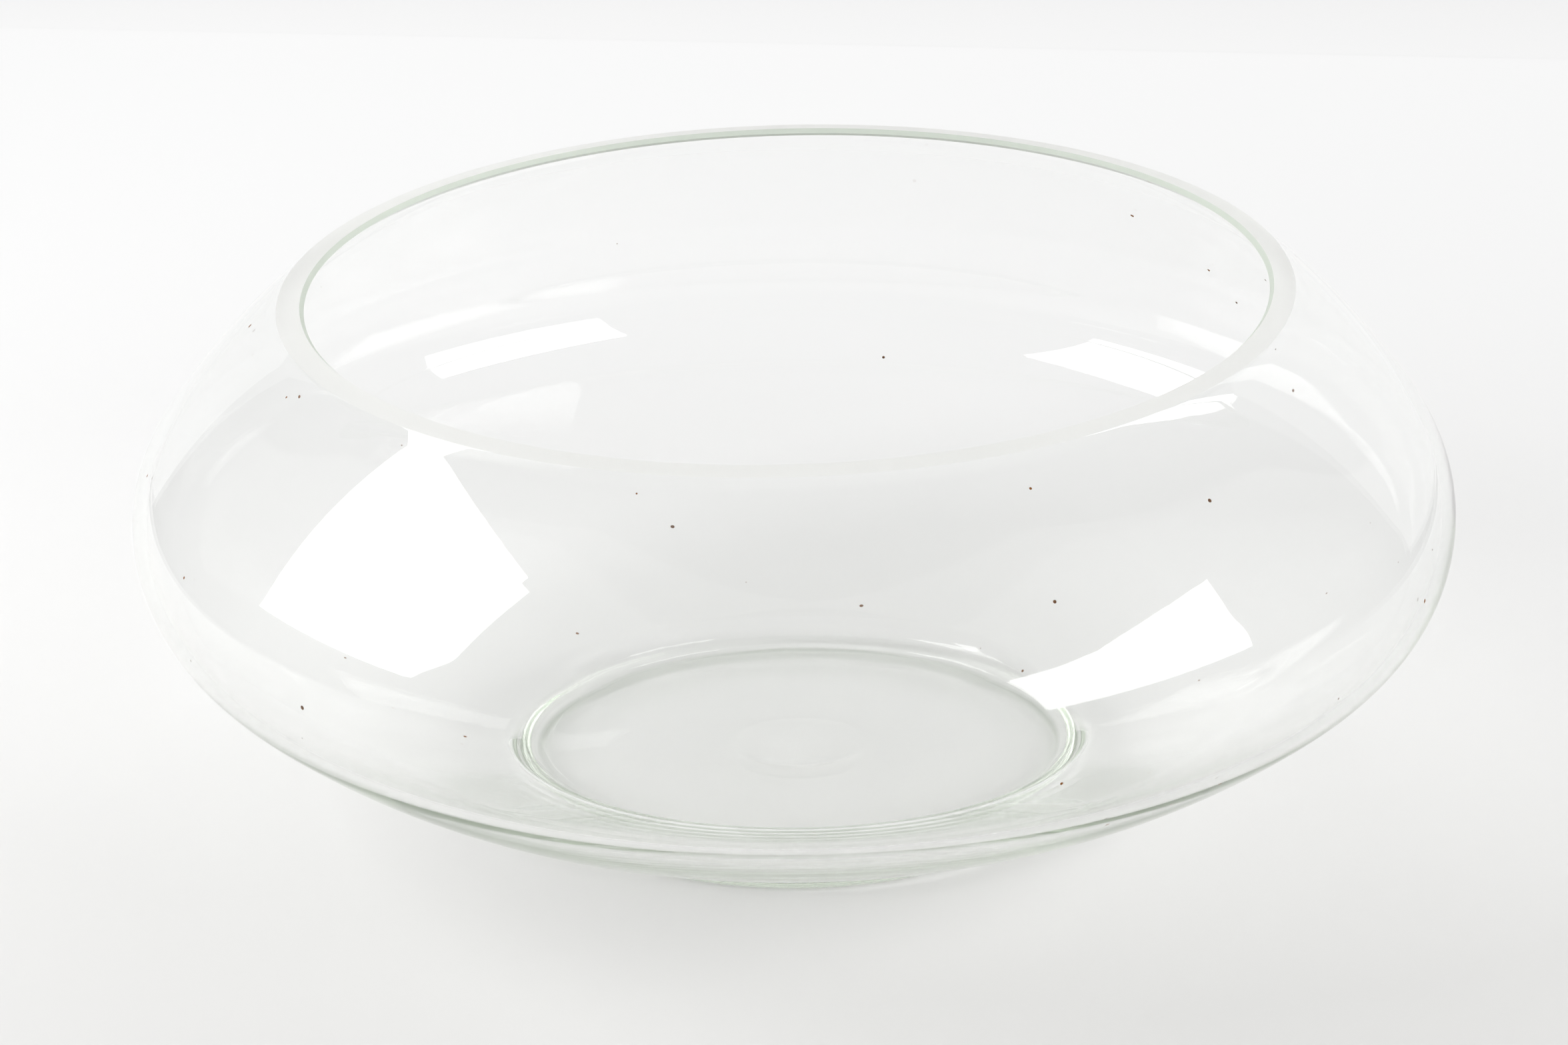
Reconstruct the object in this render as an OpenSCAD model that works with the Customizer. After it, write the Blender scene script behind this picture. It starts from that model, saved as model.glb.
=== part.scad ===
// A wide, round-shouldered blown glass bowl with a ground rim.
// It is one piece of clear glass: a body of revolution about Z, standing on its foot at z = 0.

/* [Body] */
// Largest outside diameter, at the belly
body_d = 300; // [240:1:360]
// Height from the foot to the ground rim
body_h = 119.5; // [112:0.5:124]
// Height of the widest line above the foot
belly_z = 67.7; // [64:0.1:72]
// Radius of the tight curve round the widest line
edge_r = 31; // [26:0.5:36]
// Angle that the tight curve reaches above the widest line
edge_up = 33.2; // [30:0.1:36]
// Angle that the tight curve reaches below the widest line
edge_down = 48.8; // [46:0.1:52]
// Radius of the outside curve of the shoulder
shoulder_r = 159; // [140:1:180]
// Radius of the outside curve of the underside
under_r = 140.3; // [130:0.1:150]
// Angle below level at which the underside turns flatter
base_turn = 65; // [62:0.5:68]
// Radius of the flatter outside curve that leads to the foot
base_r = 500; // [400:10:700]

/* [Glass thickness] */
// Width of the ground flat on the rim
rim_flat_w = 5.9; // [5:0.1:7]
// Wall thickness round the widest line
wall_t = 3.2; // [2.5:0.1:4]
// Wall thickness where the underside turns flatter
turn_t = 3.5; // [3:0.1:4.5]
// Wall thickness of the underside at the foot
under_t = 4.6; // [4:0.1:6]
// Thickness of the floor
floor_t = 6; // [5:0.1:7]

/* [Foot] */
// Outside diameter of the foot
foot_d = 133; // [126:1:140]
// Rounding of the foot's lower outside edge
heel_r = 5; // [4:0.5:6]
// Hollow curve between the foot and the underside
neck_r = 6; // [5:0.5:8]
// Radius of the flat floor of the well inside the foot
well_r = 57.5; // [54:0.5:60]
// Hollow curve round the flat floor
cove_r = 9; // [7:0.5:11]
// Rounding over which the well opens into the underside
lip_r = 9; // [7:0.5:11]
// Width of the flat ring that the foot stands on
stand_w = 4; // [3:0.5:6]
// Depth of the shallow hollow inside that ring
kick_h = 0.4; // [0.2:0.1:1]
// Diameter of the low button left in the middle of the floor
button_d = 31; // [24:1:40]
// Height of the button over the floor
button_h = 0.8; // [0.4:0.1:1.2]

/* [Smoothness] */
// Facets round the axis
round_fn = 180; // [96:4:256]

/* [Hidden] */
glass = [0.80, 0.88, 0.84, 0.45];
// Overlap that makes a cut pass cleanly through a face
over = 1;
belly_r = body_d / 2;
foot_r = foot_d / 2;
button_r = button_d / 2;
stand_r = foot_r - heel_r;
kick_r = stand_r - stand_w;
up_dir = [cos(edge_up), sin(edge_up)];
down_dir = [cos(edge_down), -sin(edge_down)];
turn_dir = [cos(base_turn), -sin(base_turn)];

// Outside: centres of the arcs, each one carrying on smoothly from the one before
edge_c = [belly_r - edge_r, belly_z];
shoulder_c = next_c(edge_c, edge_r, shoulder_r, up_dir);
under_c = next_c(edge_c, edge_r, under_r, down_dir);
base_c = next_c(under_c, under_r, base_r, turn_dir);

// Inside: the same chain of arcs, run through points at the given thicknesses
rim_r = shoulder_c[0] + sqrt(pow(shoulder_r, 2) - pow(body_h - shoulder_c[1], 2));
in_edge_r = edge_r - wall_t;
in_shoulder_r = tangent_r(edge_c + in_edge_r * up_dir, up_dir, [rim_r - rim_flat_w, body_h]);
in_turn = under_c + (under_r - turn_t) * turn_dir;
in_under_r = tangent_r(edge_c + in_edge_r * down_dir, down_dir, in_turn);
in_under_c = next_c(edge_c, in_edge_r, in_under_r, down_dir);
in_turn_dir = (in_turn - in_under_c) / in_under_r;
foot_slope = asin((foot_r - base_c[0]) / base_r);
in_foot = base_c + (base_r - under_t) * [sin(foot_slope), -cos(foot_slope)];
in_base_r = tangent_r(in_turn, in_turn_dir, in_foot);
in_base_c = next_c(in_under_c, in_under_r, in_base_r, in_turn_dir);

// Centre of an arc of radius r that carries on from an arc with centre c and radius last_r in direction dir
function next_c(c, last_r, r, dir) = c - (r - last_r) * dir;

// Radius of the arc that leaves point k at right angles to dir and passes through point p
function tangent_r(k, dir, p) = (p - k) * (p - k) / (-2 * ((p - k) * dir));

// Radius of the sphere that cuts a dish of radius r and depth h in a flat face
function dish_r(r, h) = (r * r + h * h) / (2 * h);

// The point at distance r1 from c1 and r2 from c2 that lies outward of the line between them
function meet(c1, r1, c2, r2) =
    let (
        gap = norm(c2 - c1),
        dir = (c2 - c1) / gap,
        along = (r1 * r1 - r2 * r2 + gap * gap) / (2 * gap)
    )
    c1 + along * dir + sqrt(r1 * r1 - along * along) * [dir[1], -dir[0]];

// Slice of a disc of radius r at c, between the directions d1 and d2 from its centre
module slice(c, r, d1, d2) {
    reach = 2 * r;
    intersection() {
        translate(c) circle(r = r, $fn = round_fn);
        polygon([c, c + reach * d1, c + reach * (d1 + d2), c + reach * d2]);
    }
}

// Half section of the body over its floor, for the outside or the inside surface
module half_body(tight_r, upper_r, lower_r, flat_dir, flat_r, floor_z, top_z) {
    upper_c = next_c(edge_c, tight_r, upper_r, up_dir);
    lower_c = next_c(edge_c, tight_r, lower_r, down_dir);
    flat_c = next_c(lower_c, lower_r, flat_r, flat_dir);
    slice(edge_c, tight_r, up_dir, [1, 0]);
    slice(edge_c, tight_r, [1, 0], down_dir);
    intersection() {
        slice(upper_c, upper_r, up_dir, [0, 1]);
        translate([0, belly_z]) square([belly_r, top_z - belly_z]);
    }
    intersection() {
        union() {
            slice(lower_c, lower_r, down_dir, flat_dir);
            slice(flat_c, flat_r, flat_dir, [0, -1]);
        }
        translate([0, floor_z]) square([belly_r, belly_z - floor_z]);
    }
    polygon([[0, belly_z], lower_c + lower_r * flat_dir, edge_c + tight_r * down_dir, edge_c,
        edge_c + tight_r * up_dir, [upper_c[0], top_z], [0, top_z]]);
}

// Half section of a foot or a well: a rounded corner and a blend below the flatter arc
module half_step(r, bottom_z, corner_r, blend_r, arc_c, arc_r) {
    corner_c = [r, bottom_z + corner_r];
    blend_c = meet(corner_c, corner_r + blend_r, arc_c, arc_r + blend_r);
    touch = blend_c + (arc_c - blend_c) * blend_r / (arc_r + blend_r);
    top_z = touch[1] + over;
    translate([0, bottom_z]) square([r, top_z - bottom_z]);
    intersection() {
        translate(corner_c) circle(r = corner_r, $fn = round_fn);
        polygon([[0, bottom_z], [r + corner_r, bottom_z], blend_c, [blend_c[0], top_z], [0, top_z]]);
    }
    difference() {
        polygon([[r - over, corner_c[1]], corner_c, blend_c, touch, touch + [0, over], [r - over, top_z]]);
        translate(blend_c) circle(r = blend_r, $fn = round_fn);
    }
}

// Ball whose top is a cap of radius r and height h over a flat face at height z
module cap_ball(r, h, z) {
    translate([0, 0, z + h - dish_r(r, h)]) sphere(r = dish_r(r, h), $fn = round_fn);
}

module bowl() {
    color(glass) {
        difference() {
            rotate_extrude($fn = round_fn) {
                half_body(edge_r, shoulder_r, under_r, turn_dir, base_r, 0, body_h);
                half_step(stand_r, 0, heel_r, neck_r, base_c, base_r);
            }
            rotate_extrude($fn = round_fn) {
                half_body(in_edge_r, in_shoulder_r, in_under_r, in_turn_dir, in_base_r,
                    floor_t, body_h + over);
                half_step(well_r, floor_t, cove_r, lip_r, in_base_c, in_base_r);
            }
            cap_ball(kick_r, kick_h, 0);
        }
        intersection() {
            cap_ball(button_r, button_h, floor_t);
            translate([0, 0, floor_t - over]) cylinder(r = button_r, h = button_h + over, $fn = round_fn);
        }
    }
}

bowl();
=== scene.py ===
"""A wide blown glass bowl with a ground rim, on a pale table between two softboxes."""

from math import acos, asin, atan2, cos, pi, radians, sin, sqrt

import bpy
import numpy as np
from mathutils import Matrix, Vector


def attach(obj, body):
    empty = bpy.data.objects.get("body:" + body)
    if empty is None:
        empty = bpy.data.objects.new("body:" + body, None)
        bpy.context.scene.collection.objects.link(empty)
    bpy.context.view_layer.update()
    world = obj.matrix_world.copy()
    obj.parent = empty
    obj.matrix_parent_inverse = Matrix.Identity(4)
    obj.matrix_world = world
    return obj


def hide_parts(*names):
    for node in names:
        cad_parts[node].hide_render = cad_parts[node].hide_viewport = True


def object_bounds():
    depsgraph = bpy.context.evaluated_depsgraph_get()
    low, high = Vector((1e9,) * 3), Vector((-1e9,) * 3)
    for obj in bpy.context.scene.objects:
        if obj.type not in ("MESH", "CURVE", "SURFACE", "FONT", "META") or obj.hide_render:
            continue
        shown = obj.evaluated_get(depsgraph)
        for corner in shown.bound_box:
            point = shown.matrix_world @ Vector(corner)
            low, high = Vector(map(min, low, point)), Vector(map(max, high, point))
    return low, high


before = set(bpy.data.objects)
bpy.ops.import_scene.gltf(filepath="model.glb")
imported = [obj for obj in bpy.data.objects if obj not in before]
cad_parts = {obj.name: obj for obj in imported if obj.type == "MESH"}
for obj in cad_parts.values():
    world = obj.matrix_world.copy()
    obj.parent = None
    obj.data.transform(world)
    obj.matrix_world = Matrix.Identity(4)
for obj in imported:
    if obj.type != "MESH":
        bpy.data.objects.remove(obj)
cad_low, cad_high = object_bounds()

# ---------------------------------------------------------------- sizes, from the CAD frame
BELLY_R = (cad_high.x - cad_low.x) / 2
HEIGHT = cad_high.z - cad_low.z
MM = BELLY_R / 150  # one millimetre of a 300 mm bowl

BELLY_Z = 67.7 * MM
EDGE_R = 31 * MM
EDGE_UP, EDGE_DOWN, BASE_TURN = radians(33.2), radians(48.8), radians(65)
SHOULDER_R = 159 * MM
UNDER_R = 140.3 * MM
BASE_R = 500 * MM
RIM_T = 3.8 * MM
BELLY_T = 3.2 * MM
UNDER_T = 4.6 * MM
FLOOR_T = 6 * MM
FOOT_R = 66.5 * MM
HEEL_R = 5 * MM
NECK_R = 6 * MM
WELL_R = 57.5 * MM
COVE_R = 9 * MM
LIP_R = 9 * MM
STAND_W = 4 * MM
KICK_H = 0.4 * MM
BUTTON_R = 15.5 * MM
BUTTON_H = 0.8 * MM
BUTTON_GAP = 0.3 * MM  # from the button's edge to the first point of the flat floor
BEVEL = 0.25 * MM  # outside the ground face
INNER_BEVEL = 0.95 * MM  # inside it
RIM_RISE = 0.7 * MM  # the ground face climbs this much from its outer edge to its inner edge

AROUND = 290  # mesh points round the axis
STEP = 1.6 * MM  # spacing of mesh points along the section
STEP_TURN = radians(4)  # about the most that an arc turns from one of them to the next
SHARP = radians(30)  # edges that turn more than this are not shaded smooth

# how far hand work leaves the bowl from a true body of revolution, above UNEVEN_FROM of its height
UNEVEN_FROM = 0.35
RIM_TILT = 0.0150
RIM_SHIFT = -1.8 * MM
OVAL, OVAL_TURN = 0.20 * MM, 0.7
WALL_SHIFT = (0.25 * MM, 0.15 * MM)

GLASS_IOR = 1.515
WAVE_SCALE, WAVE_H = 22, 0.000014  # slow waves in the surface: scale of their noise, and height in metres
LINE_SCALE, LINE_H = 60, 0.0000015  # fine lines drawn out round the bowl
LINE_SQUEEZE = (1, 1, 9)
GRIT_SCALE = 68  # cells per metre, one speck in each
GRIT_SIZE = 0.0004  # radius of a speck of middling size, in metres
ONWARD = 0.4  # share of the ground faces that scatters light on into the glass

# light levels
BOX_LEFT = 3.15
BOX_RIGHT = 3.4
ROOM = 0.625
SWEEP = 0.95
# painted shade on the table: its colour goes from white at the back to grey at the front, standing in for the
# light falling off across it
TABLE_FRONT_PAINTED_SHADE, TABLE_BACK_PAINTED_LIGHT = (0.580, 0.576, 0.562, 1), (1, 1, 1, 1)


# ---------------------------------------------------------------- section of the bowl
def unit(angle):
    return np.array([cos(angle), sin(angle)])


def arc(centre, radius, start, end, least=3):
    """Points on an arc from one angle to another, ends included."""
    n = max(least, int(abs(end - start) * radius / STEP), int(abs(end - start) / STEP_TURN))
    return [centre + radius * unit(start + (end - start) * i / n) for i in range(n + 1)]


def line(a, b, spacing=2.5 * STEP):
    n = max(1, int(np.linalg.norm(b - a) / spacing))
    return [a + (b - a) * i / n for i in range(n + 1)]


def angle_of(centre, point):
    return atan2(point[1] - centre[1], point[0] - centre[0])


def wall():
    """The outside from under the foot up to above the rim: its points and their outward normals.

    It starts inside the foot and ends above the rim, so that joined() can cut both ends where they belong.
    """
    edge_c = np.array([BELLY_R - EDGE_R, BELLY_Z])
    upper_c = edge_c - (SHOULDER_R - EDGE_R) * unit(EDGE_UP)
    lower_c = edge_c - (UNDER_R - EDGE_R) * unit(-EDGE_DOWN)
    base_c = lower_c - (BASE_R - UNDER_R) * unit(-BASE_TURN)
    under_foot = -acos((0.8 * FOOT_R - base_c[0]) / BASE_R)
    above_rim = asin((HEIGHT + 2 * RIM_T - upper_c[1]) / SHOULDER_R)
    pieces = [
        (base_c, BASE_R, under_foot, -BASE_TURN),
        (lower_c, UNDER_R, -BASE_TURN, -EDGE_DOWN),
        (edge_c, EDGE_R, -EDGE_DOWN, 0),
        (edge_c, EDGE_R, 0, EDGE_UP),
        (upper_c, SHOULDER_R, EDGE_UP, above_rim),
    ]
    points = np.concatenate([arc(*piece)[1:] for piece in pieces])
    normals = np.gradient(points, axis=0)[:, ::-1] * [1, -1]
    return points, normals / np.linalg.norm(normals, axis=1)[:, None]


def thinned(points, normals):
    """The inside wall: the glass is thin round the belly's edge and thickens towards the rim and the foot."""
    along = np.concatenate([[0], np.cumsum(np.linalg.norm(np.diff(points, axis=0), axis=1))])
    lean = np.arctan2(normals[:, 1], normals[:, 0])
    thin_top, thin_low, rim, foot = (
        along[np.argmin(abs(gap))]
        for gap in (lean - EDGE_UP, lean + EDGE_DOWN, points[:, 1] - HEIGHT, points[:, 0] - FOOT_R)
    )
    up = np.clip((along - thin_top) / (rim - thin_top), 0, None)
    down = np.clip((thin_low - along) / (thin_low - foot), 0, None)
    thick = BELLY_T + (RIM_T - BELLY_T) * up**2 + (UNDER_T - BELLY_T) * down**2
    inner = points - thick[:, None] * normals
    turned = np.gradient(inner, axis=0)[:, ::-1] * [1, -1]
    return inner, turned / np.linalg.norm(turned, axis=1)[:, None]


def crossing(values):
    """Where a list last rises through zero: the index before it and the share of the step from there."""
    i = np.flatnonzero((values[:-1] < 0) & (values[1:] >= 0))[-1]
    return i, values[i] / (values[i] - values[i + 1])


def between(rows, i, share):
    return rows[i] + share * (rows[i + 1] - rows[i])


def to_height(points, start, top):
    """The wall from its point number start up to the height top."""
    n, share = crossing(points[:, 1] - top)
    return list(points[start:n]) + [between(points, n, share)]


def joined(points, normals, r, bottom, corner, blend, top):
    """A rounded corner up from a flat of radius r, a blend into the wall, and the wall up to top."""
    corner_c = np.array([r, bottom + corner])
    i, share = crossing(np.linalg.norm(points + blend * normals - corner_c, axis=1) - corner - blend)
    end = between(points, i, share)
    blend_c = end + blend * between(normals, i, share)
    turn = angle_of(corner_c, blend_c)
    curve = arc(corner_c, corner, -pi / 2, turn)[:-1] + arc(blend_c, blend, turn + pi, angle_of(blend_c, end))
    return curve + to_height(points, i + 2, top)


def cap(radius, height, base, n):
    """A shallow dome from the axis out to radius, over base."""
    ball = (radius**2 + height**2) / (2 * height)
    return [np.array([r, base + height - ball + sqrt(ball**2 - r**2)]) for r in np.linspace(0, radius, n)]


def section():
    """Two lists of (radius, height): the outside from the base's middle to the rim, then the inside back down."""
    points, normals = wall()
    outside = cap(FOOT_R - HEEL_R - STAND_W, KICK_H, 0, 20)
    outside += joined(points, normals, FOOT_R - HEEL_R, 0, HEEL_R, NECK_R, HEIGHT - BEVEL)
    outside.append(np.array([outside[-1][0] - BEVEL, HEIGHT]))

    points, normals = thinned(points, normals)
    inside = cap(BUTTON_R, BUTTON_H, FLOOR_T, 14)
    inside += line(np.array([BUTTON_R + BUTTON_GAP, FLOOR_T]), np.array([WELL_R, FLOOR_T]))[:-1]
    inside += joined(points, normals, WELL_R, FLOOR_T, COVE_R, LIP_R, HEIGHT + RIM_RISE - INNER_BEVEL)
    inside.append(inside[-1] + INNER_BEVEL)
    return outside, inside[::-1]


# ---------------------------------------------------------------- meshes
def smoothstep(x):
    x = min(1, max(0, x))
    return x * x * (3 - 2 * x)


def place(r, z, turn, inner):
    """One point of the glass, with the small unevenness of hand work."""
    rise = smoothstep((z / HEIGHT - UNEVEN_FROM) / (1 - UNEVEN_FROM))
    r += OVAL * rise * cos(2 * turn + OVAL_TURN)
    x, y = r * cos(turn), r * sin(turn)
    if inner:
        x += WALL_SHIFT[0] * rise
        y += WALL_SHIFT[1] * rise
    x += RIM_SHIFT * rise
    return x, y, z + RIM_TILT * x * rise


def revolve(name, outside, inside):
    """A closed mesh of revolution; material 1 is the ground face between the two lists, 2 the bevel inside it."""
    rings = outside + inside
    verts, index = [], []
    for i, (r, z) in enumerate(rings):
        inner = i >= len(outside)
        if r < 1e-9:
            index.append([len(verts)] * AROUND)
            verts.append((0, 0, z))
            continue
        index.append(list(range(len(verts), len(verts) + AROUND)))
        verts += [place(r, z, 2 * pi * k / AROUND, inner) for k in range(AROUND)]
    faces, marks = [], []
    for i in range(len(rings) - 1):
        for k in range(AROUND):
            j = (k + 1) % AROUND
            ring = [index[i][k], index[i][j], index[i + 1][j], index[i + 1][k]]
            face = [v for n, v in enumerate(ring) if v not in ring[:n]]
            faces.append(face)
            marks.append(max(0, min(i - len(outside) + 2, 2)) if i <= len(outside) else 0)
    mesh = bpy.data.meshes.new(name)
    mesh.from_pydata(verts, [], faces)
    mesh.polygons.foreach_set("material_index", marks)
    mesh.polygons.foreach_set("use_smooth", [True] * len(faces))
    mesh.set_sharp_from_angle(angle=SHARP)
    mesh.update()
    obj = bpy.data.objects.new(name, mesh)
    bpy.context.scene.collection.objects.link(obj)
    return obj


# ---------------------------------------------------------------- materials
def new_material(name):
    m = bpy.data.materials.new(name)
    m.use_nodes = True
    nt = m.node_tree
    bsdf = nt.nodes["Principled BSDF"]
    return m, nt, bsdf


def noise(nt, scale, detail, stretch=(1, 1, 1)):
    """Noise over the piece's own shape, drawn out by stretch."""
    spot = nt.nodes.new("ShaderNodeTexCoord")
    drawn = nt.nodes.new("ShaderNodeMapping")
    drawn.inputs["Scale"].default_value = stretch
    tex = nt.nodes.new("ShaderNodeTexNoise")
    tex.inputs["Scale"].default_value = scale
    tex.inputs["Detail"].default_value = detail
    nt.links.new(spot.outputs["Object"], drawn.inputs["Vector"])
    nt.links.new(drawn.outputs["Vector"], tex.inputs["Vector"])
    return tex.outputs["Fac"]


def bump(nt, height, depth, under=None):
    node = nt.nodes.new("ShaderNodeBump")
    node.inputs["Distance"].default_value = depth
    nt.links.new(height, node.inputs["Height"])
    if under:
        nt.links.new(under, node.inputs["Normal"])
    return node.outputs["Normal"]


def mapped(nt, value, low, high, to_low, to_high):
    node = nt.nodes.new("ShaderNodeMapRange")
    for name, number in zip(("From Min", "From Max", "To Min", "To Max"), (low, high, to_low, to_high)):
        node.inputs[name].default_value = number
    nt.links.new(value, node.inputs["Value"])
    return node.outputs["Result"]


def glass_material():
    """Clear glass, greenish in depth, with slow waves and fine drawn lines from blowing, and specks of grit."""
    m, nt, bsdf = new_material("clear_glass")
    bsdf.inputs["Base Color"].default_value = (1, 1, 1, 1)
    bsdf.inputs["Transmission Weight"].default_value = 1
    bsdf.inputs["IOR"].default_value = GLASS_IOR
    waves = bump(nt, noise(nt, WAVE_SCALE, 1), WAVE_H)
    lines = bump(nt, noise(nt, LINE_SCALE, 2, LINE_SQUEEZE), LINE_H, waves)
    nt.links.new(lines, bsdf.inputs["Normal"])
    # the ring that the bowl stands on is worn dull
    spot = nt.nodes.new("ShaderNodeTexCoord")
    apart = nt.nodes.new("ShaderNodeSeparateXYZ")
    nt.links.new(spot.outputs["Object"], apart.inputs[0])
    worn = mapped(nt, apart.outputs["Z"], 0.0001, 0.0003, 0.15, 0)
    nt.links.new(worn, bsdf.inputs["Roughness"])
    # grit: small balls of dull brown of mixed sizes scattered through space, seen where the glass cuts them
    cells = nt.nodes.new("ShaderNodeTexVoronoi")
    cells.inputs["Scale"].default_value = GRIT_SCALE
    nt.links.new(spot.outputs["Object"], cells.inputs["Vector"])
    size = mapped(nt, cells.outputs["Color"], 0.2, 0.8, 0.3 * GRIT_SIZE * GRIT_SCALE, 1.3 * GRIT_SIZE * GRIT_SCALE)
    near = nt.nodes.new("ShaderNodeMath")
    near.operation = "LESS_THAN"
    nt.links.new(cells.outputs["Distance"], near.inputs[0])
    nt.links.new(size, near.inputs[1])
    dirt = nt.nodes.new("ShaderNodeBsdfDiffuse")
    dirt.inputs["Color"].default_value = (0.22, 0.09, 0.03, 1)
    mix = nt.nodes.new("ShaderNodeMixShader")
    nt.links.new(near.outputs[0], mix.inputs[0])
    nt.links.new(bsdf.outputs[0], mix.inputs[1])
    nt.links.new(dirt.outputs[0], mix.inputs[2])
    nt.links.new(mix.outputs[0], nt.nodes["Material Output"].inputs["Surface"])
    absorb = nt.nodes.new("ShaderNodeVolumeAbsorption")
    absorb.inputs["Color"].default_value = (0.78, 0.83, 0.75, 1)
    absorb.inputs["Density"].default_value = 13
    nt.links.new(absorb.outputs[0], nt.nodes["Material Output"].inputs["Volume"])
    return m


def ground_material(name, colour, clear, dull):
    """Ground glass with a fine grain: clear is its share of glass, and dull its least roughness.

    Part of the light is scattered on into the glass, so that the face isn't black from below.
    """
    m, nt, bsdf = new_material(name)
    bsdf.inputs["Base Color"].default_value = colour
    bsdf.inputs["Transmission Weight"].default_value = clear
    bsdf.inputs["IOR"].default_value = GLASS_IOR
    nt.links.new(bump(nt, noise(nt, 2500, 2), 0.00002), bsdf.inputs["Normal"])
    nt.links.new(mapped(nt, noise(nt, 120, 2), 0.3, 0.7, dull, dull + 0.12), bsdf.inputs["Roughness"])
    onward = nt.nodes.new("ShaderNodeBsdfTranslucent")
    onward.inputs["Color"].default_value = colour
    mix = nt.nodes.new("ShaderNodeMixShader")
    mix.inputs[0].default_value = ONWARD
    nt.links.new(bsdf.outputs[0], mix.inputs[1])
    nt.links.new(onward.outputs[0], mix.inputs[2])
    nt.links.new(mix.outputs[0], nt.nodes["Material Output"].inputs["Surface"])
    return m


def glow_material(name, colour, strength):
    m, nt, bsdf = new_material(name)
    nt.nodes.remove(bsdf)
    glow = nt.nodes.new("ShaderNodeEmission")
    glow.inputs["Color"].default_value = (*colour, 1)
    glow.inputs["Strength"].default_value = strength
    nt.links.new(glow.outputs[0], nt.nodes["Material Output"].inputs["Surface"])
    return m


# ---------------------------------------------------------------- stage, lights and camera
def sheet(name, corners, faces, material):
    mesh = bpy.data.meshes.new(name)
    mesh.from_pydata(corners, [], faces)
    mesh.materials.append(material)
    obj = bpy.data.objects.new(name, mesh)
    bpy.context.scene.collection.objects.link(obj)
    return obj


def softbox(name, centre, width, height, power, aim=(0, 0, 0.06)):
    data = bpy.data.lights.new(name, "AREA")
    data.shape = "RECTANGLE"
    data.size, data.size_y = width, height
    data.energy = power
    obj = bpy.data.objects.new(name, data)
    obj.location = centre
    obj.rotation_euler = (Vector(centre) - Vector(aim)).to_track_quat("Z", "Y").to_euler()
    bpy.context.scene.collection.objects.link(obj)
    return obj


def table_material():
    m, nt, bsdf = new_material("pale_table_painted_shade")
    spot = nt.nodes.new("ShaderNodeTexCoord")
    along = nt.nodes.new("ShaderNodeVectorMath")
    along.operation = "DOT_PRODUCT"
    along.inputs[1].default_value = (0.02, 1, 0)
    share = nt.nodes.new("ShaderNodeMapRange")
    share.interpolation_type = "SMOOTHSTEP"
    share.inputs["From Min"].default_value = -0.55
    share.inputs["From Max"].default_value = 0.60
    # the base colour is painted shade: darker towards the front and white at the back, where the light falls off
    # across the table
    painted_shade_mix = nt.nodes.new("ShaderNodeMix")
    painted_shade_mix.data_type = "RGBA"
    painted_shade_mix.inputs["A"].default_value = TABLE_FRONT_PAINTED_SHADE
    painted_shade_mix.inputs["B"].default_value = TABLE_BACK_PAINTED_LIGHT
    nt.links.new(spot.outputs["Object"], along.inputs[0])
    nt.links.new(along.outputs["Value"], share.inputs["Value"])
    nt.links.new(share.outputs["Result"], painted_shade_mix.inputs["Factor"])
    nt.links.new(painted_shade_mix.outputs["Result"], bsdf.inputs["Base Color"])
    bsdf.inputs["Roughness"].default_value = 0.6
    bsdf.inputs["Specular IOR Level"].default_value = 0.2
    return m


GAP = 0.0001  # the table is this far under the foot, so that the two faces do not coincide


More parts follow.
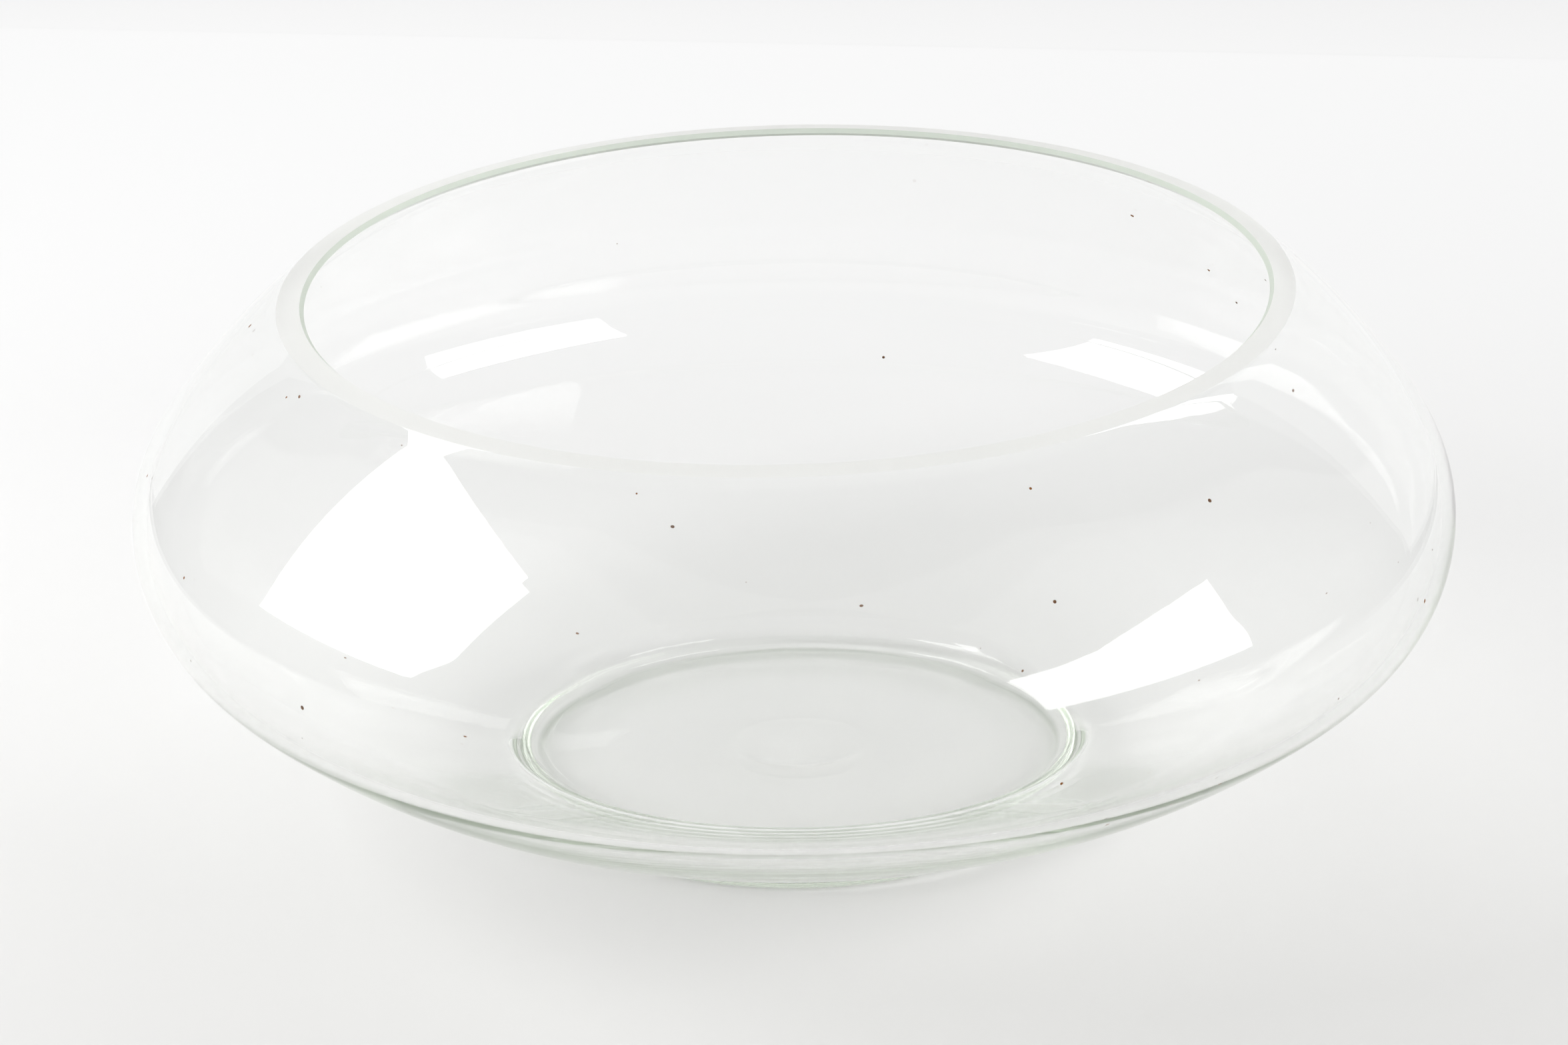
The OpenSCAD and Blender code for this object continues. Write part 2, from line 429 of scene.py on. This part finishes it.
def build_stage():
    pale_painted_shade = table_material()
    left, right, front, back, far = -0.50, 0.45, -0.55, 0.62, 8
    top = [(left, front, -GAP), (right, front, -GAP), (right, back, -GAP), (left, back, -GAP)]
    sheet("table", top, [(0, 1, 2, 3)], pale_painted_shade)
    edge = [(-far, -far, -GAP), (far, -far, -GAP), (far, far, -GAP), (-far, far, -GAP)]
    ground = sheet("floor", top + edge, [(k, 4 + k, 4 + (k + 1) % 4, (k + 1) % 4) for k in range(4)], pale_painted_shade)
    ground.visible_glossy = False
    ground.visible_transmission = False
    ground.visible_diffuse = False
    glow = glow_material("backdrop_glow", (1, 1, 1), SWEEP)
    corners = [(-0.62, back, 0), (0.86, 0.46, 0), (0.86, 0.46, 0.9), (-0.62, back, 0.9)]
    wall = sheet("backdrop", corners, [(0, 1, 2, 3)], glow)
    wall.visible_camera = False
    wall.visible_shadow = False


def build_world():
    world = bpy.data.worlds.new("studio")
    bpy.context.scene.world = world
    world.use_nodes = True
    back = world.node_tree.nodes["Background"]
    back.inputs["Color"].default_value = (1, 1, 1, 1)
    back.inputs["Strength"].default_value = ROOM


def build_camera():
    """The bowl is seen from 8 belly radii in front, from above, a little off level."""
    pitch, yaw, roll = 0.3934, -0.0023, 0.0134
    place_at = Vector((0, -8 * BELLY_R, 3.7345 * BELLY_R))
    forward = Vector((sin(yaw) * cos(pitch), cos(yaw) * cos(pitch), -sin(pitch)))
    side = forward.cross(Vector((0, 0, 1))).normalized()
    down = forward.cross(side)
    right = cos(roll) * side + sin(roll) * down
    up = sin(roll) * side - cos(roll) * down
    data = bpy.data.cameras.new("camera")
    data.sensor_width = 36
    data.lens = 130.6
    data.clip_start, data.clip_end = 0.01, 100
    cam = bpy.data.objects.new("camera", data)
    cam.matrix_world = Matrix.Translation(place_at) @ Matrix((right, up, -forward)).transposed().to_4x4()
    bpy.context.scene.collection.objects.link(cam)
    bpy.context.scene.camera = cam


outside, inside = section()
bowl = revolve("bowl_glass", outside, inside)
bowl.data.materials.append(glass_material())
bowl.data.materials.append(ground_material("ground_glass", (0.92, 0.92, 0.905, 1), 0.28, 0.3))
bowl.data.materials.append(ground_material("bevel_glass", (0.72, 0.78, 0.70, 1), 0.55, 0.3))
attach(bowl, "root")
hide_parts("bowl")

build_stage()
build_world()
softbox("softbox_left", (-0.636, -0.126, 0.445), 0.45, 0.44, BOX_LEFT)
softbox("softbox_right", (0.67, -0.44, 0.37), 0.58, 0.36, BOX_RIGHT)
build_camera()
bpy.context.scene.view_settings.view_transform = "Standard"
cycles = bpy.context.scene.cycles  # light that comes through the glass: not blurred, not cut short
cycles.blur_glossy = 0
cycles.max_bounces = cycles.transmission_bounces = cycles.glossy_bounces = 100
